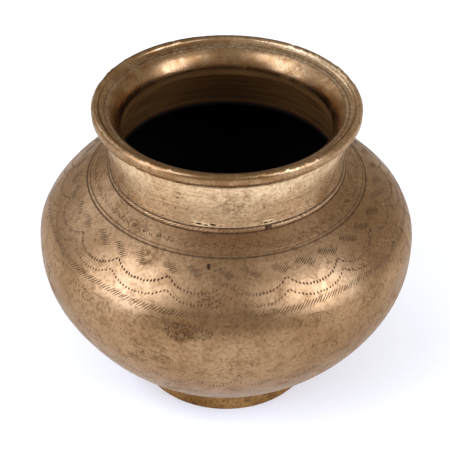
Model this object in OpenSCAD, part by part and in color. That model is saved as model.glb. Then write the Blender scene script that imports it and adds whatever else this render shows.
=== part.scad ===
// Lota: a round-bellied brass water pot with a flared rim, a short neck and a low ring foot.
// All solids are turned about the Z axis; the pot stands on Z = 0.

/* [Body] */
// Diameter at the widest line of the belly
belly_d = 150; // [135:1:165]
// Height of the widest line above the table
belly_z = 66.4; // [62:0.2:70]
// Thickness of the shell walls
wall = 1.8; // [1.4:0.1:2.4]
// Height of the lap joint between the two shells
lap_h = 3; // [2:0.5:4]

/* [Shoulder] */
// Diameter of the outer incised line
line_d = 109.5; // [106:0.5:114]
// Height of the outer incised line
line_z = 94.4; // [92:0.2:96]
// Slope of the collar inside the line, in degrees
collar_slope = 30.3; // [28:0.1:33]

/* [Neck] */
// Outer diameter at the foot of the neck
neck_d = 91.2; // [89:0.2:93]
// Inner diameter of the shoulder's upstand
upstand_d = 86.6; // [84:0.2:87]
// Height of the upstand above its seat
upstand_h = 2.6; // [2:0.1:4]
// Diameter of the throat, the narrowest place
throat_d = 81; // [79:0.2:83]
// Height of the throat above the table
throat_z = 115; // [112:0.5:117]

/* [Rim] */
// Height of the whole pot
height = 128; // [127:0.5:132]
// Outer diameter of the rim
rim_d = 103.6; // [102:0.2:108]
// Height of the rounded lip
lip_h = 5.6; // [4.5:0.1:6.5]
// Thickness of the rounded lip, front to back
lip_w = 3.4; // [3:0.1:4]
// Slope of the funnel where it leaves the rim, in degrees
funnel_slope = 38; // [30:1:45]

/* [Foot] */
// Diameter of the foot ring at the table
foot_d = 73.6; // [72:0.2:78]
// Height of the foot ring, up to its seam
foot_h = 8; // [7:0.1:9]
// Inner diameter of the foot ring
foot_bore = 67; // [65:0.5:68]

/* [Incised lines] */
// Width of an incised line
groove_w = 0.7; // [0.4:0.1:1]
// Depth of an incised line
groove_depth = 0.3; // [0.2:0.05:0.5]

/* [Smoothness] */
// Straight pieces in each long curve of an outline
curve_steps = 18; // [10:1:30]

/* [Hidden] */
$fn = 120;

brass = [0.70, 0.57, 0.38];
worn_brass = [0.74, 0.62, 0.43];
foot_brass = [0.72, 0.54, 0.27];
filler = [0.80, 0.72, 0.50];

gap = 0.1;                       // thickness of the braze filler in every joint
belly_r = belly_d / 2;
inner_belly_r = belly_r - wall;

// Belly lap joint: the bowl's tongue outside, the shoulder's tongue inside
lap_low = belly_z - lap_h / 2;
lap_high = belly_z + lap_h / 2;
lap_r = belly_r - wall / 2;      // middle of the filler
lap_in = lap_r - gap / 2;
lap_out = lap_r + gap / 2;
band = lap_h / 2 + gap;          // half height of the straight band around the belly
belly_pull_up = 11.2;            // reach of the shoulder's curve handle above the band
belly_pull_down = 20.6;          // reach of the bowl's curve handle below the band

// Collar: a cone from the incised line up to the neck
line_r = line_d / 2;
neck_r = neck_d / 2;
collar_rise = tan(collar_slope);
function collar_z(r) = line_z + (line_r - r) * collar_rise;
line_gap = 1.2;                  // distance between the two incised lines, along the radius
seat_z = collar_z(neck_r);
line_pull = 13.9;                // reach of the shoulder's curve handle at the incised line
line_pull_slope = collar_slope + 1;

// Neck socket over the shoulder's upstand
upstand_r = upstand_d / 2;
upstand_wall = 1.0;
socket_r = upstand_r + upstand_wall + gap;
upstand_top = seat_z + upstand_h;
socket_top = upstand_top + 3 * gap;

// Rim
rim_r = rim_d / 2;
throat_r = throat_d / 2;
lip_r = rim_r - lip_w / 2;       // centre of the rounded lip
lip_z = height - lip_h / 2;
lip_steps = 16;
lip_end = 150;                   // angle at which the lip meets the rim's inner band
lip_low_z = lip_z - lip_h / 2;
rim_dish = 2.95;                 // depth of the inner incised line below the top of the lip
rim_slope = 20.3;                // slope of the rim's inner band, in degrees
rim_line_out = rim_r - 5.2;      // radius of the outer incised line on the rim
rim_line_in = rim_r - 6.55;      // radius of the inner incised line on the rim
rim_band_r = rim_line_out + 1.4; // outer edge of the rim's inner band
rim_band_z = height - rim_dish;
funnel_pull = 4;                 // reach of the funnel's curve handle at the rim
throat_pull = 4.5;               // reach of the funnel's curve handle above the throat
function rim_top_z(r) = rim_band_z + (r - rim_line_in) * tan(rim_slope);

// Cove under the lip, and the fall of the neck below it
cove_out = 1.2;                  // how much wider than its foot the neck is at the cove
cove_drop = 3;                   // straight drop from the lip to the cove
cove_w = 2;
cove_h = 2.4;
cove_steps = 4;
cove_pull = 6;                   // reach of the neck's curve handle below the cove
neck_straight = 2;               // height of the straight foot of the neck
neck_pull = 8;                   // reach of the neck's curve handle above the straight foot

// Roped bead in the corner between neck and collar
bead_out = 0.7;
bead_up = 1.05;
bead_swell = 0.12;               // how far the bead bulges past its foot
bead_low_angle = -5;
bead_steps = 8;

// Foot
foot_r = foot_d / 2;
foot_flare = 1;
foot_top_r = foot_r - foot_flare;
foot_bore_r = foot_bore / 2;
spigot_r = foot_bore_r - gap;
base_z = 4.6;                    // underside of the bowl, inside the foot ring
base_top = 5.4;                  // underside of the bowl in the middle
base_wall = 2.2;
dish_steps = 5;
foot_chamfer = 0.5;
lower_slope = 36.2;              // slope of the bowl where it meets the foot
lower_pull = 27.1;               // reach of the bowl's curve handle at the foot

// A point, and the unit normal to the left, on a cubic curve with ends p[0] and p[3]
function curve_point(p, t) =
    pow(1 - t, 3) * p[0] + 3 * pow(1 - t, 2) * t * p[1] + 3 * (1 - t) * t * t * p[2] + pow(t, 3) * p[3];
function curve_run(p, t) =
    pow(1 - t, 2) * (p[1] - p[0]) + 2 * (1 - t) * t * (p[2] - p[1]) + t * t * (p[3] - p[2]);
function left_of(v) = [-v[1], v[0]] / norm(v);
function curve(p) = [for (i = [0 : curve_steps]) curve_point(p, i / curve_steps)];
function curve_offset(p, d) =
    [for (i = [0 : curve_steps])
        let (t = i / curve_steps)
        curve_point(p, t) + d * left_of(curve_run(p, t))];
function reversed(list) = [for (i = [len(list) - 1 : -1 : 0]) list[i]];
function without_last(list) = [for (i = [0 : len(list) - 2]) list[i]];

// Outline of the upper shell, from the belly band up to the incised line
upper_curve = [
    [belly_r, belly_z + band],
    [belly_r, belly_z + band + belly_pull_up],
    [line_r + line_pull * cos(line_pull_slope), line_z - line_pull * sin(line_pull_slope)],
    [line_r, line_z]
];

// Outline of the lower shell, from the belly band down to the foot's seam
lower_curve = [
    [belly_r, belly_z - band],
    [belly_r, belly_z - band - belly_pull_down],
    [foot_top_r + lower_pull * cos(lower_slope), foot_h + lower_pull * sin(lower_slope)],
    [foot_top_r, foot_h]
];

// Outside of the neck, from its straight foot up to the cove
neck_curve = [
    [neck_r, seat_z + neck_straight],
    [neck_r, seat_z + neck_straight + neck_pull],
    [neck_r + cove_out, lip_low_z - cove_drop - cove_pull],
    [neck_r + cove_out, lip_low_z - cove_drop]
];

// Inside of the rim, from the inner incised line down the funnel to the throat
funnel_curve = [
    [rim_line_in, rim_band_z],
    [rim_line_in - funnel_pull * cos(funnel_slope), rim_band_z - funnel_pull * sin(funnel_slope)],
    [throat_r, throat_z + throat_pull],
    [throat_r, throat_z]
];

// Arc points about a centre, from angle a to angle b, with radii rx and ry
function arc(c, rx, ry, a, b, steps) =
    [for (i = [0 : steps])
        let (t = a + (b - a) * i / steps)
        [c[0] + rx * cos(t), c[1] + ry * sin(t)]];

// A shallow dish from the axis, at height z, out to the point edge
function dish(edge, z) =
    [for (i = [0 : dish_steps])
        let (t = i / dish_steps)
        [edge[0] * t, z + (edge[1] - z) * t * t]];

module turned(points) {
    rotate_extrude() polygon(points);
}

// A V-shaped line cut into a surface at radius r and height z, square to a normal at the given angle
module incised_line(r, z, normal_angle) {
    rotate_extrude()
        translate([r, z])
        rotate(normal_angle)
        polygon([
            [-groove_depth, 0],
            [groove_depth, -groove_w],
            [groove_depth, groove_w]
        ]);
}

// Upper body shell, with the collar and the upstand that carries the neck
module shoulder() {
    inner_drop = wall / cos(collar_slope);
    color(brass)
    difference() {
        turned(concat(
            [
                [inner_belly_r, lap_low],
                [lap_in, lap_low],
                [lap_in, lap_high + gap]
            ],
            curve(upper_curve),
            [
                [neck_r, seat_z],
                [upstand_r + upstand_wall, seat_z],
                [upstand_r + upstand_wall, upstand_top],
                [upstand_r, upstand_top],
                [upstand_r, collar_z(upstand_r) - inner_drop]
            ],
            reversed(curve_offset(upper_curve, wall))
        ));
        incised_line(line_r, line_z, 90 - collar_slope);
        incised_line(line_r - line_gap, collar_z(line_r - line_gap), 90 - collar_slope);
    }
}

// Lower body shell, with the turned seat and spigot for the foot ring
module bowl() {
    inner_side = curve_offset(lower_curve, -wall);
    inner_edge = inner_side[curve_steps];
    color(brass)
    turned(concat(
        [
            [inner_belly_r, lap_low - gap],
            [lap_out, lap_low - gap],
            [lap_out, lap_high],
            [belly_r, lap_high]
        ],
        curve(lower_curve),
        [
            [spigot_r, foot_h]
        ],
        reversed(dish([spigot_r, base_z], base_top)),
        without_last(dish(inner_edge, base_top + base_wall)),
        reversed(inner_side)
    ));
}

// Braze filler in the belly joint, flush inside and outside
module belly_braze() {
    color(filler)
    turned([
        [inner_belly_r, lap_low - gap],
        [lap_out, lap_low - gap],
        [lap_out, lap_high],
        [belly_r, lap_high],
        [belly_r, lap_high + gap],
        [lap_in, lap_high + gap],
        [lap_in, lap_low],
        [inner_belly_r, lap_low]
    ]);
}

// Neck and flared rim, turned from one casting
module neck_rim() {
    cove_centre = [neck_r + cove_out + cove_w, lip_low_z - cove_drop];
    color(worn_brass)
    difference() {
        turned(concat(
            [
                [socket_r, seat_z],
                [neck_r, seat_z]
            ],
            curve(neck_curve),
            arc(cove_centre, cove_w, cove_h, 180, 90, cove_steps),
            arc([lip_r, lip_z], lip_w / 2, lip_h / 2, -90, lip_end, lip_steps),
            [
                [rim_band_r, rim_top_z(rim_band_r)]
            ],
            curve(funnel_curve),
            [
                [upstand_r, socket_top],
                [socket_r, socket_top]
            ]
        ));
        incised_line(rim_line_out, rim_top_z(rim_line_out), 90 + rim_slope);
        incised_line(rim_line_in, rim_band_z, 90 + (rim_slope + funnel_slope) / 2);
    }
}

// Roped ring in the corner between neck and collar
module neck_bead() {
    color(foot_brass)
    turned(concat(
        [
            [neck_r, seat_z],
            [neck_r + bead_out, collar_z(neck_r + bead_out)]
        ],
        arc([neck_r, seat_z], bead_out + bead_swell, bead_up, bead_low_angle, 90, bead_steps)
    ));
}

// Braze filler in the neck socket, with the thin ring it leaves inside
module neck_braze() {
    color(filler)
    turned([
        [socket_r - gap, seat_z],
        [socket_r, seat_z],
        [socket_r, socket_top],
        [upstand_r, socket_top],
        [upstand_r, upstand_top],
        [socket_r - gap, upstand_top]
    ]);
}

// Ring foot, slightly flared to the table
module foot_ring() {
    color(foot_brass)
    turned([
        [foot_bore_r, foot_chamfer],
        [foot_bore_r + foot_chamfer, 0],
        [foot_r - foot_chamfer, 0],
        [foot_r, foot_chamfer],
        [foot_top_r, foot_h - gap],
        [foot_bore_r, foot_h - gap]
    ]);
}

// Braze filler between the bowl and the foot ring
module foot_braze() {
    color(filler)
    turned([
        [spigot_r, base_z],
        [foot_bore_r, base_z],
        [foot_bore_r, foot_h - gap],
        [foot_top_r, foot_h - gap],
        [foot_top_r, foot_h],
        [spigot_r, foot_h]
    ]);
}

neck_rim();
neck_bead();
neck_braze();
shoulder();
belly_braze();
bowl();
foot_braze();
foot_ring();
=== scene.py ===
"""Looks for a lota: a round-bellied brass water pot with a flared rim, engraved by hand.

Every shell is turned about the Z axis. Lengths are in millimetres until a mesh is made.
An outline is a list of (radius, height) points that runs clockwise round a section, with radius to the
right and height up, so the metal lies on its right. Azimuth 0 is the front, at -Y, and 90 degrees is +X.
"""
import math

import bpy
import numpy as np
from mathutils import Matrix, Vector
from mathutils.geometry import delaunay_2d_cdt


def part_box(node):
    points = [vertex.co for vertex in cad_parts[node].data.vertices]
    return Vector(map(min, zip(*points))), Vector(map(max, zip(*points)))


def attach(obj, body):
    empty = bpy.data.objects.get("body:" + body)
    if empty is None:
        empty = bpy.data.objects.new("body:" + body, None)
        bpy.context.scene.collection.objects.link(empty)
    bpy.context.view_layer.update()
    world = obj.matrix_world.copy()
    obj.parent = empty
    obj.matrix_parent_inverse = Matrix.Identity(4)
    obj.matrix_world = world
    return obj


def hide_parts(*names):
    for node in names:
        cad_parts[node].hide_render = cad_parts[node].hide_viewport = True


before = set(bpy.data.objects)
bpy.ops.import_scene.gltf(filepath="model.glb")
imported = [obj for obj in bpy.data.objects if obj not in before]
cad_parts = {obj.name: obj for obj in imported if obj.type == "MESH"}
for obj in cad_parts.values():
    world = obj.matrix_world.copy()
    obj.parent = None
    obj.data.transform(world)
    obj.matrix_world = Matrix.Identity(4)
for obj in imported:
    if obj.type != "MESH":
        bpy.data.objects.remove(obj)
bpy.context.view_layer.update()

MM = 0.001
COLUMNS = 240  # vertices round a plain band
MESH_RADIUS = 65.0  # turns azimuth into millimetres where a band is triangulated
TINY = 1e-9  # keeps a division by a length from failing on the axis
NEAR = 1e-6  # millimetres within which two places count as one
random = np.random.default_rng(11)


# ---- sizes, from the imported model

def low(node):
    return np.array(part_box(node)[0]) / MM


def high(node):
    return np.array(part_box(node)[1]) / MM


GAP = 0.1  # thickness of the filler in every joint
WALL = 1.8
BELLY_R = high("bowl")[0]
BELLY_PULL_UP, BELLY_PULL_DOWN = 11.2, 20.6  # pulls of the two belly curves at the widest line
SEAM_LOW, SEAM_HIGH = low("belly_braze")[2], high("belly_braze")[2]
LAP_LOW, LAP_HIGH = SEAM_LOW + GAP, SEAM_HIGH - GAP
LAP_IN, LAP_OUT = BELLY_R - WALL / 2 - GAP / 2, BELLY_R - WALL / 2 + GAP / 2

BEAD_OUT, BEAD_H = 0.82, 1.05  # how far the bead stands out from the neck, and up from its seat
NECK_R = high("neck_bead")[0] - BEAD_OUT
SEAT_Z = low("neck_rim")[2]
UPSTAND_TOP = high("shoulder")[2]
UPSTAND_R, UPSTAND_WALL = 43.3, 1.0
SOCKET_R = UPSTAND_R + UPSTAND_WALL + GAP
SOCKET_TOP = high("neck_braze")[2]
COLLAR_SLOPE = math.radians(30.3)
LINE_IN = 9.15  # from the neck out to the lower incised line, along the radius
LINE_R = NECK_R + LINE_IN
LINE_Z = SEAT_Z - LINE_IN * math.tan(COLLAR_SLOPE)
LINE_PULL, LINE_PULL_SLOPE = 13.9, COLLAR_SLOPE + 0.0175

RIM_R, HEIGHT = high("neck_rim")[0], high("neck_rim")[2]
LIP_W, LIP_H = 3.4, 5.6
LIP_R, LIP_Z = RIM_R - LIP_W / 2, HEIGHT - LIP_H / 2
LIP_BEGIN, LIP_END = 150, -90  # angles at which the lip's round begins and ends
COVE_W, COVE_H = 2.0, 2.4  # the hollow between lip and neck
COVE_R, COVE_Z = NECK_R + 1.2, LIP_Z - LIP_H / 2 - 3
COVE_PULL, NECK_PULL, NECK_STRAIGHT = 6.0, 8.0, 2.0
THROAT_R, THROAT_Z, THROAT_PULL = 40.5, 115.0, 4.5
FUNNEL_SLOPE, FUNNEL_PULL = math.radians(38), 4.0

FOOT_R, FOOT_TOP_R = high("foot_ring")[0], high("foot_braze")[0]
FOOT_TOP = high("foot_braze")[2]
FOOT_PULL, FOOT_EDGE = 3.0, 0.5  # pull of the foot's flare, and radius of its lower edges
SPIGOT_R, FOOT_BORE_R = 33.4, 33.5
LOWER_SLOPE, LOWER_PULL = math.radians(36.2), 27.1  # of the bowl's curve where it meets the foot
BASE_Z, BASE_HOLLOW = low("bowl")[2], 0.8
FLOOR_Z = 7.6  # lowest point inside the bowl


# ---- outlines

def curve(start, start_pull, end_pull, end, steps=60):
    """Points on a cubic curve between two outline points."""
    t = np.linspace(0, 1, steps + 1)[:, None]
    points = [np.array(p, float) for p in (start, start_pull, end_pull, end)]
    return ((1 - t) ** 3 * points[0] + 3 * (1 - t) ** 2 * t * points[1]
            + 3 * (1 - t) * t * t * points[2] + t ** 3 * points[3])


def arc(centre, rx, ry, begin, end, steps=16):
    """Points on an elliptical arc, from angle begin to angle end in degrees."""
    t = np.radians(np.linspace(begin, end, steps + 1))
    return np.stack([centre[0] + rx * np.cos(t), centre[1] + ry * np.sin(t)], 1)


def slanted(point, slope, distance):
    """The point that lies distance away from another, at a slope above the horizontal."""
    return (point[0] + distance * math.cos(slope), point[1] + distance * math.sin(slope))


def collar_z(radius):
    return SEAT_Z - (radius - NECK_R) * math.tan(COLLAR_SLOPE)


class Outline:
    """A line of (radius, height) points, measured by the distance along it."""

    def __init__(self, points):
        self.points = np.array(points, float)
        steps = np.hypot(*np.diff(self.points, axis=0).T)
        self.run = np.concatenate([[0.0], np.cumsum(steps)])
        self.length = self.run[-1]

    def at(self, distance):
        return (np.interp(distance, self.run, self.points[:, 0]),
                np.interp(distance, self.run, self.points[:, 1]))

    def part(self, begin, end):
        """The points of the line between two distances along it."""
        between = self.points[(self.run > begin + NEAR) & (self.run < end - NEAR)]
        return np.concatenate([[self.at(begin)], between, [self.at(end)]])

    def groove(self, centre, width, depth):
        """The three points of a V-shaped line cut square to the line."""
        before, middle, after = (np.array(self.at(centre + x)) for x in (-width / 2, 0, width / 2))
        along = (after - before) / np.linalg.norm(after - before)
        return np.stack([before, middle - depth * np.array([-along[1], along[0]]), after])

    def shifted(self, distance):
        """The same line moved to its left, away from the metal."""
        along = np.gradient(self.points, self.run, axis=0)
        along /= np.linalg.norm(along, axis=1)[:, None]
        return self.points + distance * np.stack([-along[:, 1], along[:, 0]], 1)


# ---- turned bands and the marks cut in them

def ripple(amount, waves, heights, terms, seed):
    """A slow, repeatable unevenness over azimuth and distance, from -2 to about 2 times amount."""
    draw = np.random.default_rng(seed)
    turns = draw.integers(1, waves + 1, terms)
    rates = draw.uniform(-1, 1, terms) * 2 * math.pi / heights
    phases = draw.uniform(0, 2 * math.pi, terms)
    size = amount / math.sqrt(terms / 2)

    def field(azimuth, distance):
        total = np.zeros(np.broadcast(azimuth, distance).shape)
        for turn, rate, phase in zip(turns, rates, phases):
            total += size * np.sin(turn * azimuth + rate * distance + phase)
        return total
    return field


def shade(value, azimuth, distance):
    """A darkness given as a number, or as a function of azimuth and distance."""
    if callable(value):
        return value(azimuth, distance) + 0.0 * azimuth
    return np.full(np.shape(azimuth), value)


class Band:
    """One turned strip of a shell. Marks are cut into it, and relief moves it along its normal."""

    SLOPE_STEP, NORMAL_STEP = 0.2, 0.12   # millimetres over which a slope and a normal are taken
    TURN_STEP = 0.002                     # radians round the axis over which a normal is taken
    FACETING = 1.5                        # weight of a cut's flat faces in its normals
    CUT_EDGE = 0.75                       # darkness along a cut's edge, as a share of its floor's

    def __init__(self, points, marks=(), relief=None, dark=0.0, film_and_shade=0.0, columns=COLUMNS):
        self.line = Outline(points)
        self.marks = [mark for mark in marks if self.holds(mark)]
        self.relief = relief
        self.dark = dark
        self.film_and_shade = film_and_shade
        self.columns = columns

    def holds(self, mark, clear=0.3):
        """Whether a mark lies clear of both edges of the band and of its seam at the back."""
        across, down = mark["points"].T
        half = math.pi * MESH_RADIUS
        return (down.min() > clear and down.max() < self.line.length - clear
                and np.abs(across).max() < half - clear)

    def surface(self, azimuth, distance, lift=0.0):
        radius, height = self.line.at(distance)
        step = min(self.SLOPE_STEP, self.line.length / 20)
        after = self.line.at(distance + step)
        before = self.line.at(distance - step)
        along = np.stack([after[0] - before[0], after[1] - before[1]])
        along /= np.maximum(np.linalg.norm(along, axis=0), TINY)
        if self.relief is not None:
            lift = lift + self.relief(azimuth, distance)
        radius = np.minimum(radius - lift * along[1], BELLY_R)
        height = height + lift * along[0]
        return np.stack([radius * np.sin(azimuth), -radius * np.cos(azimuth),
                         np.broadcast_to(height, np.shape(radius))], -1)

    def normals(self, azimuth, distance):
        step = min(self.NORMAL_STEP, self.line.length / 12)
        turn = self.TURN_STEP
        down = (self.surface(azimuth, np.minimum(distance + step, self.line.length))
                - self.surface(azimuth, np.maximum(distance - step, 0)))
        around = self.surface(azimuth + turn, distance) - self.surface(azimuth - turn, distance)
        normal = np.cross(down, around)
        return normal / np.maximum(np.linalg.norm(normal, axis=-1), TINY)[..., None]

    def mesh(self):
        """Points, triangles, and for each corner a normal, the darkness of dirt and painted shade, and the
        brown film, which is painted shade in places.
        """
        return self.cut_mesh() if self.marks else self.plain_mesh()

    def plain_mesh(self):
        rows = len(self.line.run)
        azimuth = np.linspace(-math.pi, math.pi, self.columns, endpoint=False)[None, :]
        distance = self.line.run[:, None]
        azimuth, distance = (np.repeat(azimuth, rows, 0), np.repeat(distance, self.columns, 1))
        points = self.surface(azimuth, distance).reshape(-1, 3)
        normal = self.normals(azimuth, distance).reshape(-1, 3)
        index = np.arange(rows * self.columns).reshape(rows, self.columns)
        beside = np.roll(index, -1, 1)
        a, b, c, d = index[:-1], index[1:], beside[1:], beside[:-1]
        faces = np.concatenate([np.stack([a, b, c], -1).reshape(-1, 3),
                                np.stack([a, c, d], -1).reshape(-1, 3)])
        dark = shade(self.dark, azimuth, distance).reshape(-1)
        film_and_shade = shade(self.film_and_shade, azimuth, distance).reshape(-1)
        return points, faces, normal[faces], dark[faces], film_and_shade[faces]

    def cut_mesh(self):
        """The band as triangles that follow the edge and the floor of every mark."""
        flat, edges, loops, depth, dark = self.flat_marks()
        ground = self.ground_points(flat)
        every = np.concatenate([flat, ground])
        depth = np.concatenate([depth, np.zeros(len(ground))])
        out, _, faces, origin, _, owner = delaunay_2d_cdt(
            [Vector(p) for p in every], edges, loops, 0, 1e-5, True)
        place = np.array([every[ids[0]] if ids else tuple(p) for p, ids in zip(out, origin)])
        lift = np.array([min((-depth[i] for i in ids), default=0.0) for ids in origin])
        faces = np.array(faces)[:, ::-1]
        inside = np.array([dark[ids[0]] if ids else -1.0 for ids in owner])
        azimuth = place[:, 0] / MESH_RADIUS
        azimuth[azimuth < -math.pi + NEAR] = math.pi
        points = self.surface(azimuth, place[:, 1], lift)
        normal = self.normals(azimuth, place[:, 1])[faces]
        corner = points[faces]
        flat_normal = np.cross(corner[:, 1] - corner[:, 0], corner[:, 2] - corner[:, 0])
        flat_normal /= np.maximum(np.linalg.norm(flat_normal, axis=1), TINY)[:, None]
        marked = inside >= 0
        blend = normal[marked] + self.FACETING * flat_normal[marked][:, None, :]
        normal[marked] = blend / np.linalg.norm(blend, axis=-1)[..., None]
        dirt_and_shade = shade(self.dark, azimuth, place[:, 1])[faces]
        floor = lift[faces[marked]] < -NEAR
        dirt_and_shade[marked] = inside[marked][:, None] * np.where(floor, 1.0, self.CUT_EDGE)
        return points, faces, normal, dirt_and_shade, shade(self.film_and_shade, azimuth, place[:, 1])[faces]

    def flat_marks(self):
        flat, edges, loops, depth, dark = [], [], [], [], []
        for mark in self.marks:
            base = sum(len(part) for part in flat)
            flat.append(mark["points"])
            depth.append(mark["depth"])
            loops.append([base + i for i in mark["loop"]])
            edges += [(base + i, base + j) for i, j in mark["edges"]]
            dark.append(mark["dark"])
        return np.concatenate(flat), edges, loops, np.concatenate(depth), np.array(dark)

    def ground_points(self, flat, spacing=2.2, clear=0.45):
        """A staggered grid of points between the marks, with both ends and the seam at the back."""
        half = math.pi * MESH_RADIUS
        length = self.line.length
        rim = np.linspace(-half, half, self.columns + 1)
        ends = [np.stack([rim, np.full_like(rim, y)], 1) for y in (0.0, length)]
        rows = max(2, int(round(length / spacing)))
        heights = np.linspace(0, length, rows + 1)[1:-1]
        seam = [np.stack([np.full_like(heights, x), heights], 1) for x in (-half, half)]
        inner = []
        for i, y in enumerate(heights):
            x = rim[1:-1] if i % 2 else (rim[:-1] + rim[1:]) / 2
            inner.append(np.stack([x, np.full_like(x, y)], 1))
        inner = np.concatenate(inner)
        order = np.argsort(flat[:, 0])
        sorted_x = flat[order, 0]
        keep = []
        for point in inner:
            begin, end = np.searchsorted(sorted_x, (point[0] - clear, point[0] + clear))
            gaps = flat[order[begin:end]] - point
            keep.append(not np.any(np.hypot(gaps[:, 0], gaps[:, 1]) < clear))
        return np.concatenate(ends + seam + [inner[keep]])


def furrow(line, azimuth, distance, path, width, depth, dark):
    """A V-shaped cut along path, a list of (across, down) points in millimetres from its centre."""
    path = np.array(path, float)
    along = np.gradient(path, axis=0)
    along /= np.linalg.norm(along, axis=1)[:, None]
    side = np.stack([-along[:, 1], along[:, 0]], 1)
    count = len(path)
    share = np.linspace(0, 1, count)
    taper = np.minimum(1, 2.4 * np.sqrt(share * (1 - share)))[1:-1, None]
    left = path[1:-1] + side[1:-1] * width / 2 * taper
    right = path[1:-1] - side[1:-1] * width / 2 * taper
    points = np.concatenate([path[:1], right, path[-1:], left[::-1], path[1:-1]])
    inner = count - 2
    loop = list(range(2 * inner + 2))
    spine = [0] + [2 * inner + 2 + i for i in range(inner)] + [inner + 1]
    depths = np.concatenate([np.zeros(2 * inner + 2), depth * taper[:, 0]])
    return on_band(line, azimuth, distance, points, loop, list(zip(spine[:-1], spine[1:])), depths, dark)


def pit(line, azimuth, distance, across, down, depth, dark, corners=9):
    """A small ragged hollow with a flat floor."""
    angle = np.linspace(0, 2 * math.pi, corners, endpoint=False)
    reach = random.uniform(0.75, 1.15, corners)
    rim = np.stack([across / 2 * reach * np.cos(angle), down / 2 * reach * np.sin(angle)], 1)
    points = np.concatenate([rim, 0.55 * rim])
    loop = list(range(corners))
    floor = [(corners + i, corners + (i + 1) % corners) for i in range(corners)]
    depths = np.concatenate([np.zeros(corners), np.full(corners, depth)])
    return on_band(line, azimuth, distance, points, loop, floor, depths, dark)


def on_band(line, azimuth, distance, points, loop, edges, depths, dark):
    """A mark drawn in millimetres, placed round a band as (azimuth, distance) in its flat map."""
    down = distance + points[:, 1]
    radius = line.at(down)[0]
    across = math.radians(azimuth) * MESH_RADIUS + points[:, 0] * MESH_RADIUS / radius
    return {"points": np.stack([across, down], 1), "loop": loop, "edges": edges,
            "depth": depths, "dark": dark}


def straight(length, angle, steps=3):
    """A path through its own centre. Angle 0 runs across, and 90 runs up the pot."""
    t = np.linspace(-length / 2, length / 2, steps + 1)[:, None]
    return t * np.array([[math.cos(math.radians(angle)), -math.sin(math.radians(angle))]])


def plain(*corners):
    """Plain straight bands from each corner to the next."""
    return [Band(pair) for pair in zip(corners[:-1], corners[1:])]


def build_piece(name, bands, material, slot, *nodes):
    """Joins the bands of one shell into a closed mesh that stands for its CAD node."""
    parts, base = [], 0
    for band in bands:
        part = list(band.mesh())
        part[1] = part[1] + base
        base += len(part[0])
        parts.append(part)
    points, faces, normals, dark, film_and_shade = (np.concatenate(column) for column in zip(*parts))
    _, first, same = np.unique(np.round(points, 4), axis=0, return_index=True, return_inverse=True)
    points, faces = points[first], same.reshape(-1)[faces]
    whole = (faces[:, 0] != faces[:, 1]) & (faces[:, 1] != faces[:, 2]) & (faces[:, 2] != faces[:, 0])
    faces, normals = faces[whole], normals[whole]
    mesh = bpy.data.meshes.new(name)
    mesh.from_pydata((points * MM).tolist(), [], faces.tolist())
    for layer, values in (("dirt_and_shade", dark), ("film_and_shade", film_and_shade)):
        corners = values[whole].reshape(-1).astype(np.float32)
        mesh.attributes.new(layer, "FLOAT", "CORNER").data.foreach_set("value", corners)
    mesh.polygons.foreach_set("use_smooth", np.ones(len(faces), bool))
    mesh.normals_split_custom_set(normals.reshape(-1, 3).tolist())
    mesh.materials.append(material)
    piece = bpy.data.objects.new(name, mesh)
    bpy.context.scene.collection.objects.link(piece)
    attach(piece, "root")
    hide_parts(*nodes)


# ---- ornament of the shoulder and belly

SWAGS = 18
SWAG_PITCH = 360 / SWAGS
FRONT_CUSP = 0.5  # azimuth of the cusp nearest the front
TICK_PITCH = 1.1  # degrees between two punched ticks
TICK_DEPTH, TICK_SHAPE = 0.26, 0.5  # depth of a tick, and its width as a share of its length
SWAG_FULLNESS = 2.4  # 2 hangs a festoon as a parabola, and more makes it squarer
SWAG_LEAN = 38  # degrees that the ticks lean over at the ends of a festoon

# width and depth of each other kind of cut
FEATHER_CUT = (0.32, 0.14)
HATCH_CUT = (0.36, 0.16)
PETAL_CUT = (0.5, 0.22)
STEM_CUT = (0.34, 0.14)
ARCH_CUT = (0.32, 0.08)
LEAF_CUT = (0.25, 0.08)
DOT_CUT = (0.26, 0.1)
SCALLOP_CUT = (0.36, 0.12)
BURNT_DEPTH, RING_DEPTH = 0.07, 0.08


def jitter(amount, count=None):
    return random.uniform(-amount, amount, count)


def swags(line, cusp_down, sag, tick, dark):
    """A row of hanging festoons, punched tick by tick."""
    cusps = jitter(0.8, SWAGS)
    drops = cusp_down + jitter(0.45, SWAGS)
    for i in range(SWAGS):
        after = (i + 1) % SWAGS
        begin = FRONT_CUSP + SWAG_PITCH * i + cusps[i]
        span = SWAG_PITCH + cusps[after] - cusps[i]
        ticks = int(span / TICK_PITCH)
        deep = sag * random.uniform(0.88, 1.12)
        for j in range(ticks):
            t = (j + 0.5) / ticks
            down = drops[i] + (drops[after] - drops[i]) * t + deep * (1 - abs(2 * t - 1) ** SWAG_FULLNESS)
            lean = 90 + SWAG_LEAN * (1 - 2 * t) + jitter(9)
            path = straight(tick * random.uniform(0.85, 1.2), lean)
            azimuth = wrap(begin + span * t + jitter(0.1))
            down += jitter(0.12)
            width = TICK_SHAPE * tick * random.uniform(0.85, 1.2)
            yield furrow(line, azimuth, down, path, width, TICK_DEPTH,
                         dark * worn(azimuth) * random.uniform(0.75, 1))


def worn(azimuth):
    """How much of the dark filling is left: the ornament is rubbed most at the front."""
    return 1 - 0.2 * math.exp(-((azimuth - 2) / 15) ** 2)


def wrap(azimuth):
    """The same azimuth between -180 and 180, kept off the seam at the back."""
    turned = (azimuth + 180) % 360 - 180
    return min(max(turned, -178.2), 178.2)


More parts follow.
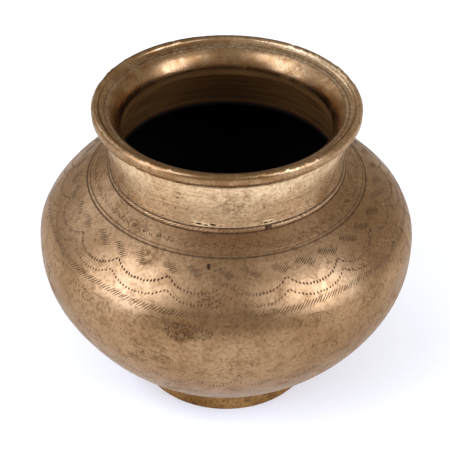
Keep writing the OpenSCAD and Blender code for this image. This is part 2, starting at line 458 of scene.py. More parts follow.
def feather_row(line, down, pitch=1.3, length=4.3, slope=44):
    """A ring of slanting strokes below the festoons."""
    radius = line.at(down)[0]
    count = int(2 * math.pi * radius / pitch)
    drift = ripple(0.3, 12, 60, 5, 3)
    for i in range(count):
        azimuth = -180 + (i + 0.5) * 360 / count
        if abs(azimuth) > 178:
            continue
        centre = down + float(drift(math.radians(azimuth), 0)) + jitter(0.12)
        path = straight(length * random.uniform(0.8, 1.12), slope + jitter(5), 4)
        yield furrow(line, azimuth + jitter(0.12), centre, path, *FEATHER_CUT,
                     worn(azimuth) * random.uniform(0.8, 1.0))


def hatch_blocks(line, down, blocks=36, gap=0.8):
    """Patches of short parallel strokes, a gap apart, between the incised line and the festoons."""
    for i in range(blocks):
        azimuth = wrap(-0.5 + 360 / blocks * i + jitter(0.9))
        if abs(azimuth) > 174:
            continue
        strokes = random.integers(7, 11)
        slope = 36 + jitter(6)
        stack = math.radians(-32 + jitter(6))
        dark = random.uniform(0.8, 1.0)
        middle = down + jitter(0.35)
        for j in range(strokes):
            step = j - (strokes - 1) / 2
            path = straight(random.uniform(3.9, 4.7), slope + jitter(2.5))
            along = jitter(0.22)
            across, fall = gap * step * math.cos(stack), -gap * step * math.sin(stack)
            path = path + [across + along, fall - 0.7 * along]
            yield furrow(line, azimuth, middle, path, *HATCH_CUT, dark)


def collar_sprigs(line, down, sprigs=58):
    """Tiny punched flowers on the collar, each with a curved stem that runs down to the right."""
    for i in range(sprigs):
        azimuth = wrap(2 + 360 / sprigs * i + jitter(0.7))
        if abs(azimuth) > 174:
            continue
        middle = down + jitter(0.35)
        dark = random.uniform(0.8, 1.0)
        petals = random.integers(7, 10)
        for j in range(petals):
            angle = 360 / petals * j + jitter(14)
            reach = random.uniform(0.5, 1.4)
            path = straight(random.uniform(0.5, 0.9), angle + jitter(40))
            turn = math.radians(angle)
            path = path + [reach * math.cos(turn), -0.85 * reach * math.sin(turn)]
            yield furrow(line, azimuth, middle, path, *PETAL_CUT, dark)
        t = np.linspace(0, 1, 7)[:, None]
        stem = np.concatenate([1.6 + 2.4 * t, -0.6 + 2.1 * t + 0.35 * np.sin(2 * math.pi * t)], 1)
        yield furrow(line, azimuth, middle, stem, *STEM_CUT, 0.9 * dark)


def petal(length, width, angle, bend=0.0, steps=9):
    """The two curved sides of a petal that starts at the origin, as two paths."""
    t = np.linspace(0, 1, steps)[:, None]
    turn = np.radians(angle + bend * t)
    sides = []
    for sign in (-1, 1):
        along, across = length * t, sign * width / 2 * np.sin(math.pi * t)
        x = along * np.cos(turn) - across * np.sin(turn)
        y = along * np.sin(turn) + across * np.cos(turn)
        sides.append(np.concatenate([x, -y], 1))
    return sides


def broken_arch(radius, begin, end, pieces=3, gap=5, flatness=0.55, steps=8):
    """A worn flat arch of the given half width, as short paths with gaps, between two angles in degrees."""
    edges = np.linspace(begin, end, pieces + 1)
    paths = []
    for low_angle, high_angle in zip(edges[:-1], edges[1:]):
        t = np.radians(np.linspace(low_angle + gap, high_angle - gap, steps))
        paths.append(np.stack([radius * np.cos(t), -flatness * radius * np.sin(t)], 1))
    return paths


def worn_flowers(line, down, count=16):
    """Faint flowers on the belly below the feather row: an arch, a few long leaves and loose strokes."""
    for i in range(count):
        azimuth = wrap(3 + 360 / count * i + jitter(2))
        if abs(azimuth) > 166:
            continue
        middle = down + jitter(0.6)
        dark = random.uniform(0.45, 0.75)
        for path in broken_arch(random.uniform(6.2, 8.2), -15, 195):
            yield furrow(line, azimuth, middle, path, *ARCH_CUT, 0.75)
        paths = []
        for j in range(4):
            angle = 15 + 50 * j + jitter(12)
            root = np.array([jitter(1.0), 1.5 + jitter(0.8)])
            sides = petal(random.uniform(4.5, 7), random.uniform(1.4, 2.4), angle, jitter(30))
            paths += [side + root for side in sides]
        for j in range(9):
            place = [random.uniform(-7.5, 7.5), random.uniform(-4.5, 4.5)]
            paths.append(straight(random.uniform(0.8, 2.6), random.uniform(0, 180)) + place)
        for path in paths:
            yield furrow(line, azimuth, middle, path, *LEAF_CUT, dark * random.uniform(0.6, 1.1))


def dotted(line, begin, end, pitch=0.9):
    """A long straight line of dots between two (azimuth, distance) places."""
    across = math.radians(end[0] - begin[0]) * MESH_RADIUS
    count = int(math.hypot(across, end[1] - begin[1]) / pitch)
    lean = math.degrees(math.atan2(begin[1] - end[1], across))
    for t in (np.arange(count) + 0.5) / count:
        azimuth = begin[0] + (end[0] - begin[0]) * t + jitter(0.1)
        path = straight(pitch * random.uniform(0.5, 0.8), lean + jitter(12))
        down = begin[1] + (end[1] - begin[1]) * t
        yield furrow(line, azimuth, down, path, *DOT_CUT, random.uniform(0.5, 0.9))


def burnt_strokes(line, azimuth, down, across, height, count, upright):
    """A patch of short dark strokes, crowded and mostly upright, left by a spill that burnt on."""
    for _ in range(count):
        angle = random.uniform(0, 2 * math.pi)
        reach = math.sqrt(random.random())
        place = [across / 2 * reach * math.cos(angle), height / 2 * reach * math.sin(angle)]
        lean = 88 + jitter(16) if random.random() < upright else jitter(25)
        path = straight(random.uniform(0.7, 2.2), lean) + place
        width = random.uniform(0.25, 0.5)
        yield furrow(line, azimuth, down, path, width, BURNT_DEPTH, random.uniform(0.6, 1.0))


# how far each ring of ornament lies below the lower incised line
HATCH_DOWN, FEATHER_DOWN, FLOWERS_DOWN = 5.7, 21.0, 29.0
SWAG_ROWS = (
    # distance of the cusps, sag, length of a tick, darkness
    (9.2, 4.5, 1.45, 1.0), (13.8, 4.3, 1.2, 0.95),
)
DOTTED_LINES = (((21, 23.2), (15, 34.5)), ((25, 26), (21.6, 35)))
BURNT_PATCHES = (
    # azimuth, distance, width, height, number of strokes, share of them that stand upright
    (-11, 28.0, 19, 6.5, 130, 0.7), (-4, 15.5, 11, 6, 45, 0.4),
    (-15, 25.5, 9, 1.6, 26, 0.1), (-47, 27.0, 14, 6, 36, 0.4),
)
SPILLS = (
    # azimuth, distance below the line, radius, strength
    (-3, 17, 9, 0.9), (-12, 28, 9, 1.2), (-2, 22, 7, 0.7),
)
SHOULDER_PITS = (
    # azimuth, distance below the line, width, height, depth
    (-6.2, 3.3, 1.7, 2.7, 0.8), (61.0, 9.3, 1.3, 1.7, 0.5), (66.0, 20.0, 1.5, 1.5, 0.25),
    (35.0, 30.0, 0.7, 0.7, 0.2), (-52.0, 8.6, 0.7, 0.7, 0.2), (48.0, 26.5, 0.6, 0.7, 0.2),
    (119.0, 15.5, 1.0, 0.8, 0.3), (-140.0, 6.2, 0.9, 1.1, 0.4), (162.0, 27.0, 0.8, 0.7, 0.25),
)


def small_pits(line, count, begin, end, dark=0.8):
    """Casting pits scattered over a band, most of them tiny."""
    for _ in range(count):
        size = 0.28 + 0.5 * random.random() ** 3
        yield pit(line, random.uniform(-176, 176), random.uniform(begin, end), size,
                  size * random.uniform(0.7, 1.3), 0.35 * size, dark * random.uniform(0.5, 1), 6)


# ---- the pieces

INSIDE_SHADE = 2.0  # painted shade: the inside is painted black, past the darkest dirt
OXIDE = 2.0  # a film this strong is brown oxide without a metal shine
GROOVE = 0.72  # width of the lower incised line
LINE_RUN = LINE_IN / math.cos(COLLAR_SLOPE)
SECOND_RUN = LINE_RUN - 1.39  # the upper incised line, on the collar
SECOND_GROOVE = 0.6  # width of the upper incised line
SPRIGS_UP = 2.7  # how far the sprigs lie above the upper incised line
BEAD_FOOT = 0.82  # how far the bead covers the collar
CREVICE = 0.4  # width of the dark line beside the bead


def bore_shade(azimuth, distance):
    """Painted shade: the inside of the neck is painted darkest at the back."""
    return 0.8 * np.exp(-((math.pi - np.abs(azimuth)) / 0.5) ** 2) + 0 * distance


def shoulder_side():
    """The outside of the upper shell, from the neck down to the belly seam."""
    end = (BELLY_R, SEAM_HIGH)
    line = (LINE_R, LINE_Z)
    pull = slanted(line, -LINE_PULL_SLOPE, LINE_PULL)
    fall = curve(line, pull, (BELLY_R, SEAM_HIGH + BELLY_PULL_UP), end)
    return Outline(np.concatenate([[(NECK_R, SEAT_Z)], fall]))


def fade(begin, end, length):
    """A relief that dies out over the first and last stretch of a band."""
    def share(distance):
        rise = np.clip(distance / begin, 0, 1) * np.clip((length - distance) / end, 0, 1)
        return rise * rise * (3 - 2 * rise)
    return share


def uneven(amount, waves, heights, seed, begin, end, length, sunk=2.0):
    """Hand-made unevenness that dies out at both edges. It lies below the outline by sunk times amount."""
    field = ripple(amount, waves, heights, 14, seed)
    share = fade(begin, end, length)
    return lambda azimuth, distance: (field(azimuth, distance) - sunk * amount) * share(distance)


def shoulder_marks(body):
    """All the marks on the shoulder below the lower incised line."""
    offset = GROOVE / 2           # marks are measured from the middle of the line
    marks = []
    for down, sag, tick, dark in SWAG_ROWS:
        marks += swags(body, down - offset, sag, tick, dark)
    marks += feather_row(body, FEATHER_DOWN - offset)
    marks += hatch_blocks(body, HATCH_DOWN - offset)
    marks += worn_flowers(body, FLOWERS_DOWN - offset)
    for begin, end in DOTTED_LINES:
        marks += dotted(body, begin, end)
    for patch in BURNT_PATCHES:
        marks += burnt_strokes(body, *patch)
    marks += [pit(body, a, d - offset, w, h, depth, 1.0) for a, d, w, h, depth in SHOULDER_PITS]
    marks += small_pits(body, 70, 2, 33)
    return marks


def shoulder(material):
    side = shoulder_side()
    lower_edge = LINE_RUN + GROOVE / 2
    body = Outline(side.part(lower_edge, side.length))
    collar = Outline(side.part(BEAD_FOOT + CREVICE, SECOND_RUN - SECOND_GROOVE / 2))
    marks = shoulder_marks(body)
    sprigs = [*collar_sprigs(collar, collar.length - SPRIGS_UP), *small_pits(collar, 20, 1, 8)]
    inner_low = (BELLY_R - WALL, LAP_LOW)
    inside = Outline(side.part(LINE_RUN, side.length)).shifted(-WALL)[::-1]
    shelf = collar_z(UPSTAND_R) - WALL / math.cos(COLLAR_SLOPE)
    shade_top, outer = UPSTAND_TOP - shelf - 0.4, UPSTAND_R + UPSTAND_WALL
    bands = [
        Band(side.groove(BEAD_FOOT + CREVICE / 2, CREVICE, 0.18), dark=0.9),
        Band(collar.points, sprigs, uneven(0.03, 9, 20, 21, 4, 4, collar.length, 0)),
        Band(side.groove(SECOND_RUN, SECOND_GROOVE, 0.2), dark=0.5),
        Band(side.part(SECOND_RUN + SECOND_GROOVE / 2, LINE_RUN - GROOVE / 2)),
        Band(side.groove(LINE_RUN, GROOVE, 0.3), dark=0.75),
        Band(body.points, marks, uneven(0.1, 11, 45, 22, 6, 8, body.length, 0)),
        *plain((BELLY_R, SEAM_HIGH), (LAP_IN, SEAM_HIGH), (LAP_IN, LAP_LOW), inner_low),
        # painted shade: the inside of the shoulder is painted black
        Band(np.concatenate([[inner_low], inside[1:], [(UPSTAND_R, shelf)]]), dark=INSIDE_SHADE),
        # painted shade: the upstand inside the neck is black but for a strip at its top, and darkest at the
        # back
        Band([(UPSTAND_R, z) for z in np.linspace(shelf, UPSTAND_TOP, 12)], film_and_shade=OXIDE,
             dark=lambda a, d: np.maximum(bore_shade(a, d), INSIDE_SHADE * np.clip((shade_top - d) / 2.2, 0, 1))),
        *plain((UPSTAND_R, UPSTAND_TOP), (outer, UPSTAND_TOP), (outer, SEAT_Z), (NECK_R, SEAT_Z)),
        Band(side.part(0, BEAD_FOOT)),
    ]
    build_piece("shoulder_engraved", bands, material, "body_brass", "shoulder")


def bowl_side():
    """The outside of the lower shell, from the belly seam down to the foot."""
    foot = (FOOT_TOP_R, FOOT_TOP)
    pull = slanted(foot, LOWER_SLOPE, LOWER_PULL)
    return Outline(curve((BELLY_R, SEAM_LOW), (BELLY_R, SEAM_LOW - BELLY_PULL_DOWN), pull, foot, 80))


def scallops(line, down, count=29, pitch=1.35, sag=5.5):
    """Short upright ticks that rise and fall in a row of shallow scallops."""
    radius = line.at(down)[0]
    ticks = int(2 * math.pi * radius / pitch)
    for i in range(ticks):
        azimuth = -180 + (i + 0.5) * 360 / ticks
        if abs(azimuth) > 178.5:
            continue
        swing = abs(math.sin(math.radians((azimuth - 3) * count / 2)))
        path = straight(random.uniform(1.5, 2.3), 90 + jitter(9))
        yield furrow(line, azimuth + jitter(0.1), down + sag * swing + jitter(0.15), path,
                     *SCALLOP_CUT, random.uniform(0.65, 1.0))


def ring_strokes(line, down, dark):
    """A worn ring: long strokes with gaps, that follow the pot round."""
    azimuth = -176.0
    radius = line.at(down)[0]
    while azimuth < 170:
        length = random.uniform(2.5, 7)
        span = math.degrees(length / radius)
        yield furrow(line, azimuth + span / 2, down + jitter(0.25), straight(length, jitter(2), 5),
                     random.uniform(0.2, 0.42), RING_DEPTH, dark * random.uniform(0.4, 1))
        azimuth += span + random.uniform(0.3, 4)


# how far each ring of ornament lies below the belly seam
LOW_FLOWERS_DOWN, SCALLOPS_DOWN = 5.6, 14.5
RINGS = ((9.4, 0.75), (10.3, 0.8))  # distance and darkness
LOW_DOTTED_LINES = (((14.8, 0.7), (10.5, 8.6)), ((21.4, 0.7), (17, 8.6)))


def bowl_marks(side):
    marks = list(scallops(side, SCALLOPS_DOWN))
    for down, dark in RINGS:
        marks += ring_strokes(side, down, dark)
    marks += worn_flowers(side, LOW_FLOWERS_DOWN)
    marks += small_pits(side, 90, 2, side.length - 3, 0.7)
    for begin, end in LOW_DOTTED_LINES:
        marks += dotted(side, begin, end)
    return marks


def bowl(material):
    side = bowl_side()
    inside = side.shifted(-WALL)[::-1]
    inside[-1] = (BELLY_R - WALL, SEAM_LOW)
    edge = inside[0]
    dish = [(edge[0] * t, FLOOR_Z + (edge[1] - FLOOR_Z) * t * t) for t in np.linspace(0, 1, 8)]
    under = [(SPIGOT_R * t, BASE_Z + BASE_HOLLOW * (1 - t * t)) for t in np.linspace(1, 0, 8)]
    bands = [
        Band([(BELLY_R, LAP_HIGH), (BELLY_R, SEAM_LOW)]),
        Band(side.points, bowl_marks(side), uneven(0.1, 9, 55, 31, 8, 6, side.length, 0)),
        *plain((FOOT_TOP_R, FOOT_TOP), (SPIGOT_R, FOOT_TOP), (SPIGOT_R, BASE_Z)),
        Band(under),
        # painted shade: the floor and the inner wall of the bowl are painted black
        Band(dish, dark=INSIDE_SHADE),
        Band(inside, dark=INSIDE_SHADE),
        *plain((BELLY_R - WALL, SEAM_LOW), (LAP_OUT, SEAM_LOW), (LAP_OUT, LAP_HIGH), (BELLY_R, LAP_HIGH)),
    ]
    build_piece("bowl_turned", bands, material, "body_brass", "bowl")


RIM_LINES = (5.2, 6.55)  # the two incised lines on the rim, in from its edge
RIM_CUTS = (0.42, 0.5)  # widths of the inner and the outer of the two lines
RIM_EDGE = 1.4  # from the outer line out to where the lip begins
RIM_RISE = 0.37  # rise of the rim's band towards the lip
RIM_LOW_Z = HEIGHT - 2.95  # height of the inner of the two lines
NECK_PITS = (
    # azimuth, height, width, height of the pit, depth
    (-22.5, 112.5, 1.5, 1.2, 0.5), (38.0, 113.7, 1.1, 0.7, 0.35), (55.0, 107.8, 0.8, 0.8, 0.3),
    (-30.0, 107.2, 0.8, 0.7, 0.3), (-24.0, 107.3, 0.6, 1.3, 0.2), (-27.5, 106.2, 0.6, 0.6, 0.2),
    (13.5, 111.5, 0.5, 0.4, 0.15), (132.0, 109.0, 0.9, 0.8, 0.3), (-105.0, 111.0, 0.7, 0.9, 0.3),
)
SOLDER_DEPTH = 0.04
SOLDER_MARKS = (
    # azimuth, height above the bead, width, height
    (-12.5, 1.05, 2.86, 0.84), (-9.5, 0.85, 1.82, 0.6), (-6.0, 1.15, 2.47, 1.08), (-2.5, 0.85, 1.56, 0.48),
    (18.6, 0.9, 2.08, 0.72), (21.0, 0.85, 1.56, 0.6), (-31.0, 0.8, 1.3, 0.48), (44.0, 0.85, 1.69, 0.48),
    (84.0, 0.9, 1.95, 0.6), (150.0, 0.9, 2.21, 0.72), (-128.0, 0.85, 1.69, 0.6),
)


def rim_film_and_shade(azimuth, distance):
    """The rim is browner than the neck, most in front and least at the right, and browner at the back left
    as painted shade over the glint of the back left soft box.
    """
    worn = 0.4 * np.exp(-((azimuth - math.radians(105)) / math.radians(45)) ** 2)
    # painted shade over the glint of the back left soft box
    glint_shade = 0.35 * np.exp(-((azimuth + math.radians(150)) / math.radians(40)) ** 2)
    return 0.8 + 0.2 * np.cos(azimuth) - worn + glint_shade


def rim_z(radius):
    return RIM_LOW_Z + (radius - (RIM_R - RIM_LINES[1])) * RIM_RISE


def neck_side():
    """The outside of the neck, from under the lip down to its seat."""
    foot = (NECK_R, SEAT_Z + NECK_STRAIGHT)
    pull = (NECK_R, SEAT_Z + NECK_STRAIGHT + NECK_PULL)
    fall = curve((COVE_R, COVE_Z), (COVE_R, COVE_Z - COVE_PULL), pull, foot, 30)
    return Outline(np.concatenate([fall, [(NECK_R, SEAT_Z)]]))


def turning_lines(amount, pitch, seed):
    """Fine ridges left by the lathe: relief that changes only along the outline."""
    draw = np.random.default_rng(seed)
    phases = draw.uniform(0, 2 * math.pi, 4)

    def relief(azimuth, distance):
        total = sum(np.sin(2 * math.pi * distance / (pitch * stretch) + phase)
                    for stretch, phase in zip((1, 1.37, 2.9, 5.3), phases))
        return amount * (total / 4 - 1) + 0 * azimuth
    return relief


def neck_marks(wall):
    """Pits in the side of the neck, and drips of solder above the bead."""
    marks = [pit(wall, a, COVE_Z - z, w, h, depth, 1.0) for a, z, w, h, depth in NECK_PITS]
    for azimuth, up, width, height in SOLDER_MARKS:
        marks.append(pit(wall, azimuth, wall.length - up, width, height, SOLDER_DEPTH, 1.2))
    marks += small_pits(wall, 60, 1.5, wall.length - 2.5)
    return marks


def lip_marks(lip):
    """Casting pits all round the lip, and wear along its lower edge at the front left."""
    marks = list(small_pits(lip, 200, 1, lip.length - 1.5, 1.0))
    for _ in range(80):
        azimuth, down = random.uniform(-75, 25), lip.length - 1.7 + jitter(0.9)
        width, height = random.uniform(0.5, 1.5), random.uniform(0.3, 0.6)
        marks.append(pit(lip, azimuth, down, width, height, 0.12, random.uniform(0.6, 1), 7))
    return marks


def rim_top():
    """The top of the rim from throat to lip. Its last three points are the two lines and the lip."""
    inner, outer = RIM_R - RIM_LINES[1], RIM_R - RIM_LINES[0]
    top, edge = (inner, RIM_LOW_Z), outer + RIM_EDGE
    funnel = curve((THROAT_R, THROAT_Z), (THROAT_R, THROAT_Z + THROAT_PULL),
                   slanted(top, FUNNEL_SLOPE, -FUNNEL_PULL), top, 40)
    return Outline(np.concatenate([funnel, [(outer, rim_z(outer)), (edge, rim_z(edge))]]))


def neck_rim(material):
    side = neck_side()
    bead_top = side.length - BEAD_H
    wall = Outline(side.part(0, bead_top - CREVICE))
    marks = neck_marks(wall)
    band = rim_top()
    first, second = band.run[-3], band.run[-2]
    lip = Outline(arc((LIP_R, LIP_Z), LIP_W / 2, LIP_H / 2, LIP_BEGIN, LIP_END, 30))
    lip_top = band.points[-1]
    cove = arc((COVE_R + COVE_W, COVE_Z), COVE_W, COVE_H, 90, 180, 8)
    bore = Outline([(UPSTAND_R, SOCKET_TOP), (THROAT_R, THROAT_Z)])
    bore_rows = [bore.at(x) for x in np.linspace(0, bore.length, 120)]
    thin, wide = RIM_CUTS
    bands = [
        Band(band.part(0, first - thin / 2), relief=uneven(0.02, 6, 20, 41, 2, 2, first - thin / 2),
             film_and_shade=lambda a, d: 0.95 + 1.05 * np.clip(1 - d / 4, 0, 1)),
        Band(band.groove(first, thin, 0.22), dark=0.8),
        Band(band.part(first + thin / 2, second - wide / 2), film_and_shade=rim_film_and_shade),
        Band(band.groove(second, wide, 0.28), dark=0.9),
        Band(band.part(second + wide / 2, band.length), film_and_shade=rim_film_and_shade),
        Band([lip_top, lip.points[0]], film_and_shade=rim_film_and_shade),
        Band(lip.points, lip_marks(lip), uneven(0.03, 9, 25, 42, 1.5, 1.5, lip.length),
             film_and_shade=lambda a, d: 0.9 * rim_film_and_shade(a, d)),
        # painted shade: the hollow under the lip is darkened
        Band(np.concatenate([[lip.points[-1]], cove]), dark=0.55),
        Band(wall.points, marks, uneven(0.05, 7, 30, 43, 2, 2, wall.length)),
        Band(side.groove(bead_top - CREVICE / 2, CREVICE, 0.18), dark=0.9),
        Band(side.part(bead_top, side.length)),
        *plain((NECK_R, SEAT_Z), (SOCKET_R, SEAT_Z), (SOCKET_R, SOCKET_TOP), (UPSTAND_R, SOCKET_TOP)),
        # painted shade: the bore is painted darker towards the back
        Band(bore_rows, relief=lambda a, d: turning_lines(0.05, 0.9, 44)(a, d) * fade(1, 2, bore.length)(d),
             dark=bore_shade, film_and_shade=OXIDE),
    ]
    build_piece("neck_rim_turned", bands, material, "neck_brass", "neck_rim")


STRANDS = 158  # nicks round the roped bead
NICK_DEPTH, NICK_WIDTH = 0.26, 0.14  # the width as a share of a strand
BEAD_RUN = 2.3  # from the top of the bead to its foot, along its outside
BURNT_SPOT, BURNT_HALF = math.radians(19.5), math.radians(1.7)


def rope(azimuth, distance):
    """Slanting nicks that turn the plain bead into a twisted rope."""
    phase = (azimuth * STRANDS / (2 * math.pi) + 0.75 * distance) % 1
    worn = 0.75 + 0.25 * np.sin(3 * azimuth + 1) * np.sin(7 * azimuth)
    return -0.02 - NICK_DEPTH * worn * np.exp(-((phase - 0.5) / NICK_WIDTH) ** 2)


def rope_dirt(azimuth, distance):
    """Dirt in the nicks and along both edges, and a burnt spot of solder near the front."""
    nick = np.clip(-4 * rope(azimuth, distance) - 0.25, 0, 0.8)
    edge = 1.1 * np.clip(np.abs(distance - BEAD_RUN / 2) * 4 / BEAD_RUN - 1, 0, 1)
    spot = 0.95 * (np.abs(azimuth - BURNT_SPOT) < BURNT_HALF)
    return np.maximum(np.maximum(nick, edge), spot)


def bead(material):
    columns = STRANDS * 9
    top = arc((NECK_R, SEAT_Z), BEAD_OUT, BEAD_H, 90, -26, 10)
    foot = (NECK_R + BEAD_FOOT * math.cos(COLLAR_SLOPE), SEAT_Z - BEAD_FOOT * math.sin(COLLAR_SLOPE))
    outside = Outline(np.concatenate([top, [foot]]))
    share = fade(0.35, 0.35, outside.length)
    bands = [
        Band(outside.points, relief=lambda a, d: rope(a, d) * share(d), dark=rope_dirt, columns=columns),
        Band([foot, (NECK_R, SEAT_Z)], columns=columns),
        Band([(NECK_R, SEAT_Z), (NECK_R, SEAT_Z + BEAD_H)], columns=columns),
    ]
    build_piece("neck_bead_roped", bands, material, "bead_brass", "neck_bead")


def foot_ring(material):
    top, edge = FOOT_TOP - GAP, FOOT_EDGE
    outside = Outline(curve((FOOT_TOP_R, top), (FOOT_TOP_R, FOOT_TOP - FOOT_PULL),
                            (FOOT_R, FOOT_PULL), (FOOT_R, edge), 16))
    marks = small_pits(outside, 90, 0.6, outside.length - 0.5, 0.9)
    bands = [
        Band(outside.points, marks, uneven(0.05, 13, 12, 51, 1, 1.5, outside.length)),
        Band(arc((FOOT_R - edge, edge), edge, edge, 0, -90, 5)),
        Band([(FOOT_R - edge, 0), (FOOT_BORE_R + edge, 0)]),
        Band(arc((FOOT_BORE_R + edge, edge), edge, edge, 270, 180, 5)),
        *plain((FOOT_BORE_R, edge), (FOOT_BORE_R, top), (FOOT_TOP_R, top)),
    ]
    build_piece("foot_ring_turned", bands, material, "foot_brass", "foot_ring")


# ---- materials

class Nodes:
    """Short names for the few shader nodes that the brass needs."""

    def __init__(self, name):
        self.material = bpy.data.materials.new(name)
        self.material.use_nodes = True
        self.tree = self.material.node_tree
        self.shader = self.tree.nodes["Principled BSDF"]
        self.place = self.tree.nodes.new("ShaderNodeTexCoord").outputs["Object"]

    def fill(self, node, inputs):
        """Links or sets inputs of a node, given by name or number."""
        for name, value in inputs.items():
            if isinstance(value, bpy.types.NodeSocket):
                self.tree.links.new(value, node.inputs[name])
            else:
                node.inputs[name].default_value = value

    def add(self, kind, inputs, **settings):
        """A new node with its settings and inputs. Gives its outputs."""
        node = self.tree.nodes.new("ShaderNode" + kind)
        for name, value in settings.items():
            setattr(node, name, value)
        self.fill(node, inputs)
        return node.outputs

    def math(self, operation, a, b=0.0, clamp=False):
        return self.add("Math", {0: a, 1: b}, operation=operation, use_clamp=clamp)[0]

    def noise(self, size, detail=3.0, rough=0.55, warp=0.0):
        """Noise whose features are about size millimetres across."""
        return self.add("TexNoise", {"Vector": self.place, "Scale": 1 / (size * MM), "Detail": detail,
                                     "Roughness": rough, "Distortion": warp})["Fac"]

    def stretched_noise(self, scale):
        """Noise drawn out along the directions with a small scale, in features per metre."""
        place = self.add("VectorMath", {0: self.place, 1: scale}, operation="MULTIPLY")[0]
        return self.add("TexNoise", {"Vector": place, "Scale": 1.0, "Detail": 4.0})["Fac"]

    def ramp(self, value, begin, end, low_value=0.0, high_value=1.0):
        return self.add("MapRange", {"Value": value, "From Min": begin, "From Max": end, "To Min": low_value,
                                     "To Max": high_value}, interpolation_type="SMOOTHSTEP")["Result"]

    def mix(self, share, a, b):
        return self.add("Mix", {"Factor": share, 6: a, 7: b}, data_type="RGBA")[2]

    def over(self, colour, noise, begin, end, strength, top):
        """Lays a colour over another one where a noise is high."""
        return self.mix(self.math("MULTIPLY", self.ramp(noise, begin, end), strength), colour, top)

    def attribute(self, name):
        return self.add("Attribute", {}, attribute_name=name)["Fac"]

    def bump(self, layers):
        """Bump from (height, depth in millimetres) layers, one on the other."""
        under = {}
        for height, depth in layers:
            inputs = {"Height": height, "Distance": depth * MM, "Strength": 1.0}
            under = {"Normal": self.add("Bump", {**inputs, **under})["Normal"]}
        self.fill(self.shader, under)


def tone(red, green, blue):
    """A colour given as it looks on a screen, from 0 to 255, in the linear values that shaders use."""
    values = [c / 255 for c in (red, green, blue)]
    return tuple(c / 12.92 if c < 0.04045 else ((c + 0.055) / 1.055) ** 2.4 for c in values) + (1.0,)


EDGE_TINT = (0.86, 0.79, 0.71, 1.0)  # worn brass reflects less at a glancing angle than clean metal
DIRT_GLOSS = 0.12  # specular level of what isn't metal
STAIN, SPECK = tone(92, 58, 26), tone(70, 45, 24)
SCRATCH, GRAIN = tone(96, 66, 36), tone(110, 76, 44)
FILM_AND_SHADE_BROWN, OXIDE_BROWN, STREAK = tone(116, 80, 44), tone(88, 58, 28), tone(50, 29, 11)
# brown of the dirt in the cuts and of painted shade, and black of painted shade inside the pot
DIRT_AND_SHADE_BROWN, SHADE_BLACK = tone(50, 27, 11), tone(7, 4, 2)


def aged_brass(name, light, base, brown, stains=0.5, turned=0.5, satin=0.34, pitted=1.0, patches=()):
    """Old brass: two tones of metal, brown stains, fine turning scratches, dark dirt in the cuts, and
    painted shade, brown to black, inside the pot and at the rim's back left.
    """
    n = Nodes(name)
    scratches = n.stretched_noise((60.0, 60.0, 1400.0))
    broad, mottle = n.noise(38, 2.0), n.noise(6, 6.0, warp=0.4)
    fine, grain = n.noise(1.3, 4.0), n.noise(0.45, 3.0, rough=0.7)
    colour = n.mix(n.ramp(broad, 0.35, 0.65), base, light)
    colour = n.over(colour, mottle, 0.45, 0.75, 0.45, brown)
    colour = n.over(colour, fine, 0.42, 0.72, 0.6, brown)
    stain = n.math("MULTIPLY", n.ramp(n.noise(13, 7.0, warp=0.8), 0.50, 0.72), n.ramp(fine, 0.32, 0.62))
    for centre, radius, strength in patches:
        away = n.add("VectorMath", {0: n.place, 1: tuple(centre * MM)}, operation="DISTANCE")[1]
        ragged = n.ramp(n.noise(4, 6.0), 0.34, 0.56)
        spread = n.math("MULTIPLY", n.ramp(away, radius * MM, 0.3 * radius * MM), ragged)
        stain = n.math("MAXIMUM", stain, n.math("MULTIPLY", spread, strength, True))
    colour = n.mix(n.math("MULTIPLY", stain, stains), colour, STAIN)
    colour = n.over(colour, n.noise(2.2, 2.0), 0.68, 0.74, 0.6, SPECK)
    colour = n.over(colour, scratches, 0.5, 0.72, 0.3 * turned, SCRATCH)
    colour = n.over(colour, grain, 0.38, 0.68, 0.4, GRAIN)
    oxide = n.ramp(n.attribute("film_and_shade"), 1.1, 1.9)
    # the brown film, laid on by the film attribute; at the rim's back left it is painted shade
    film_and_shade = n.math("MULTIPLY", n.attribute("film_and_shade"), n.ramp(mottle, 0.3, 0.7, 0.75, 1.0), True)
    colour = n.mix(film_and_shade, colour, FILM_AND_SHADE_BROWN)
    colour = n.mix(oxide, colour, OXIDE_BROWN)
    colour = n.over(colour, scratches, 0.4, 0.7, n.math("MULTIPLY", oxide, 0.6), STREAK)
    # darkness of the dirt in the cuts and of painted shade inside the pot, broken up by noise
    grime_and_shade = n.math("MULTIPLY", n.attribute("dirt_and_shade"), n.ramp(fine, 0.25, 0.6, 0.8, 1.0))
    colour = n.mix(n.math("MINIMUM", grime_and_shade, 1.0), colour, DIRT_AND_SHADE_BROWN)
    # painted shade: a darkness past 1.1, as inside the pot, turns the colour black
    colour = n.mix(n.ramp(n.attribute("dirt_and_shade"), 1.1, 1.9), colour, SHADE_BLACK)
    dull = n.math("MAXIMUM", n.math("MULTIPLY", grime_and_shade, 0.6), n.math("MULTIPLY", oxide, 0.85))
    rough = n.math("ADD", n.ramp(mottle, 0.3, 0.7, satin - 0.04, satin + 0.06),
                   n.math("MULTIPLY", n.math("MAXIMUM", stain, grime_and_shade), 0.28))
    metal = n.math("SUBTRACT", 1.0, dull, True)
    n.fill(n.shader, {"Base Color": colour, "Metallic": metal, "Roughness": rough,
                      "Specular Tint": EDGE_TINT, "Specular IOR Level": DIRT_GLOSS})
    n.bump([(mottle, 0.03 * pitted), (fine, 0.02 * pitted), (grain, 0.012 * pitted),
            (scratches, 0.03 * turned)])
    return n.material


# ---- stage, light and camera

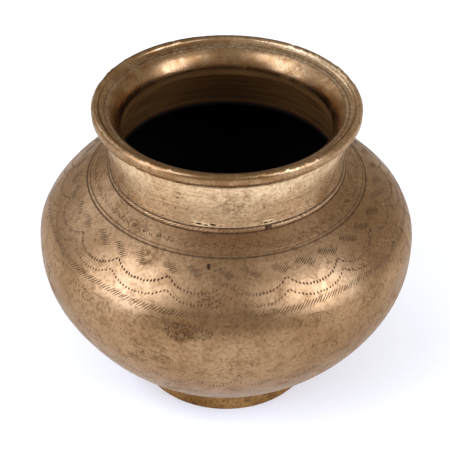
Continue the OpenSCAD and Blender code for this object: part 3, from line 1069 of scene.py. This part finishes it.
LIGHT_COLOUR = (0.83, 1.0, 1.4)
AIM_Z = 0.07  # height that the lights aim at
SOFT_BOXES = (
    # name, azimuth, elevation, distance, width, height, brightness
    ("softbox_left", -66, 31, 0.9, 0.55, 0.95, 4.7),
    ("softbox_right", 60, 28, 0.9, 0.42, 0.68, 6.6),
    ("softbox_front_left", -41, 44, 1.0, 0.35, 0.45, 1.8),
    ("softbox_front_right", 39, 44, 1.0, 0.35, 0.45, 2.5),
    ("softbox_back_left", -122, 32, 1.1, 0.6, 0.6, 1.4),
)
FLOOR_HALF = 6.0
FLOOR_COLOUR, FLOOR_GLOW = (0.95, 0.91, 0.84, 1), 0.1
ROOM_COLOUR, ROOM_STRENGTH = (1, 0.97, 0.92, 1), 0.58


def soft_box(name, azimuth, elevation, distance, width, height, brightness):
    """A soft box at a direction from the pot, aimed at the pot. Azimuth 0 is in front."""
    lamp = bpy.data.lights.new(name, "AREA")
    lamp.shape = "RECTANGLE"
    lamp.size, lamp.size_y, lamp.color = width, height, LIGHT_COLOUR
    lamp.energy = brightness * math.pi * width * height
    thing = bpy.data.objects.new(name, lamp)
    a, e = math.radians(azimuth), math.radians(elevation)
    aim = Vector((math.sin(a) * math.cos(e), -math.cos(a) * math.cos(e), math.sin(e)))
    thing.location = Vector((0, 0, AIM_Z)) + aim * distance
    thing.rotation_euler = aim.to_track_quat("Z", "Y").to_euler()
    thing.visible_camera = False
    bpy.context.scene.collection.objects.link(thing)


def stage():
    """A wide pale floor, a dim room, and soft boxes at the front, sides and back."""
    h = FLOOR_HALF
    mesh = bpy.data.meshes.new("floor")
    mesh.from_pydata([(-h, -h, 0), (h, -h, 0), (h, h, 0), (-h, h, 0)], [], [(0, 1, 2, 3)])
    floor = bpy.data.objects.new("floor", mesh)
    bpy.context.scene.collection.objects.link(floor)
    n = Nodes("pale_floor")
    n.fill(n.shader, {"Base Color": FLOOR_COLOUR, "Roughness": 0.9,
                      "Emission Color": (1, 1, 1, 1), "Emission Strength": FLOOR_GLOW})
    mesh.materials.append(n.material)
    world = bpy.data.worlds.new("room")
    world.use_nodes = True
    background = world.node_tree.nodes["Background"]
    background.inputs["Color"].default_value = ROOM_COLOUR
    background.inputs["Strength"].default_value = ROOM_STRENGTH
    bpy.context.scene.world = world
    for box in SOFT_BOXES:
        soft_box(*box)


LENS, SENSOR, SHIFT = 104.0, 36.0, -0.00277
TARGET_Z = 0.06824  # the height that the camera looks at
CAMERA_DISTANCE = 0.52869
CAMERA_PITCH, CAMERA_ROLL = math.radians(36.98), math.radians(0.335)


def camera():
    """The photograph's view: from the front, 37 degrees above the table."""
    lens = bpy.data.cameras.new("camera")
    lens.lens, lens.sensor_width, lens.shift_x = LENS, SENSOR, SHIFT
    lens.clip_start, lens.clip_end = 0.01, 50
    view = bpy.data.objects.new("camera", lens)
    view.location = (0, -CAMERA_DISTANCE * math.cos(CAMERA_PITCH),
                     TARGET_Z + CAMERA_DISTANCE * math.sin(CAMERA_PITCH))
    view.rotation_euler = (math.pi / 2 - CAMERA_PITCH, 0, 0)
    view.rotation_euler.rotate_axis("Z", CAMERA_ROLL)
    bpy.context.scene.collection.objects.link(view)
    bpy.context.scene.camera = view


bpy.context.scene.view_settings.view_transform = "Standard"
camera()
stage()
shoulder_skin = Band(shoulder_side().points)
spills = [(shoulder_skin.surface(np.radians(azimuth), np.array(LINE_RUN + down)), radius, strength)
          for azimuth, down, radius, strength in SPILLS]
body_brass = aged_brass("body_brass_aged", tone(166, 133, 97), tone(148, 115, 80), tone(108, 74, 42),
                        patches=spills)
neck_brass = aged_brass("neck_brass_worn", tone(228, 197, 154), tone(212, 178, 134), tone(156, 117, 78),
                        0.4, 1.0, 0.26, 0.2)
bead_brass = aged_brass("bead_brass_worn", tone(180, 146, 106), tone(164, 128, 90), tone(112, 74, 42), 0.4)
foot_brass = aged_brass("foot_brass_golden", tone(176, 136, 84), tone(132, 94, 50), tone(84, 48, 22), 0.9)
braze = aged_brass("braze_pale", tone(172, 140, 102), tone(156, 122, 85), tone(114, 80, 46), 0.3)
shoulder(body_brass)
bowl(body_brass)
neck_rim(neck_brass)
bead(bead_brass)
foot_ring(foot_brass)
for node in ("neck_braze", "belly_braze", "foot_braze"):
    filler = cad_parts[node]
    filler.data.materials.clear()
    filler.data.materials.append(braze)
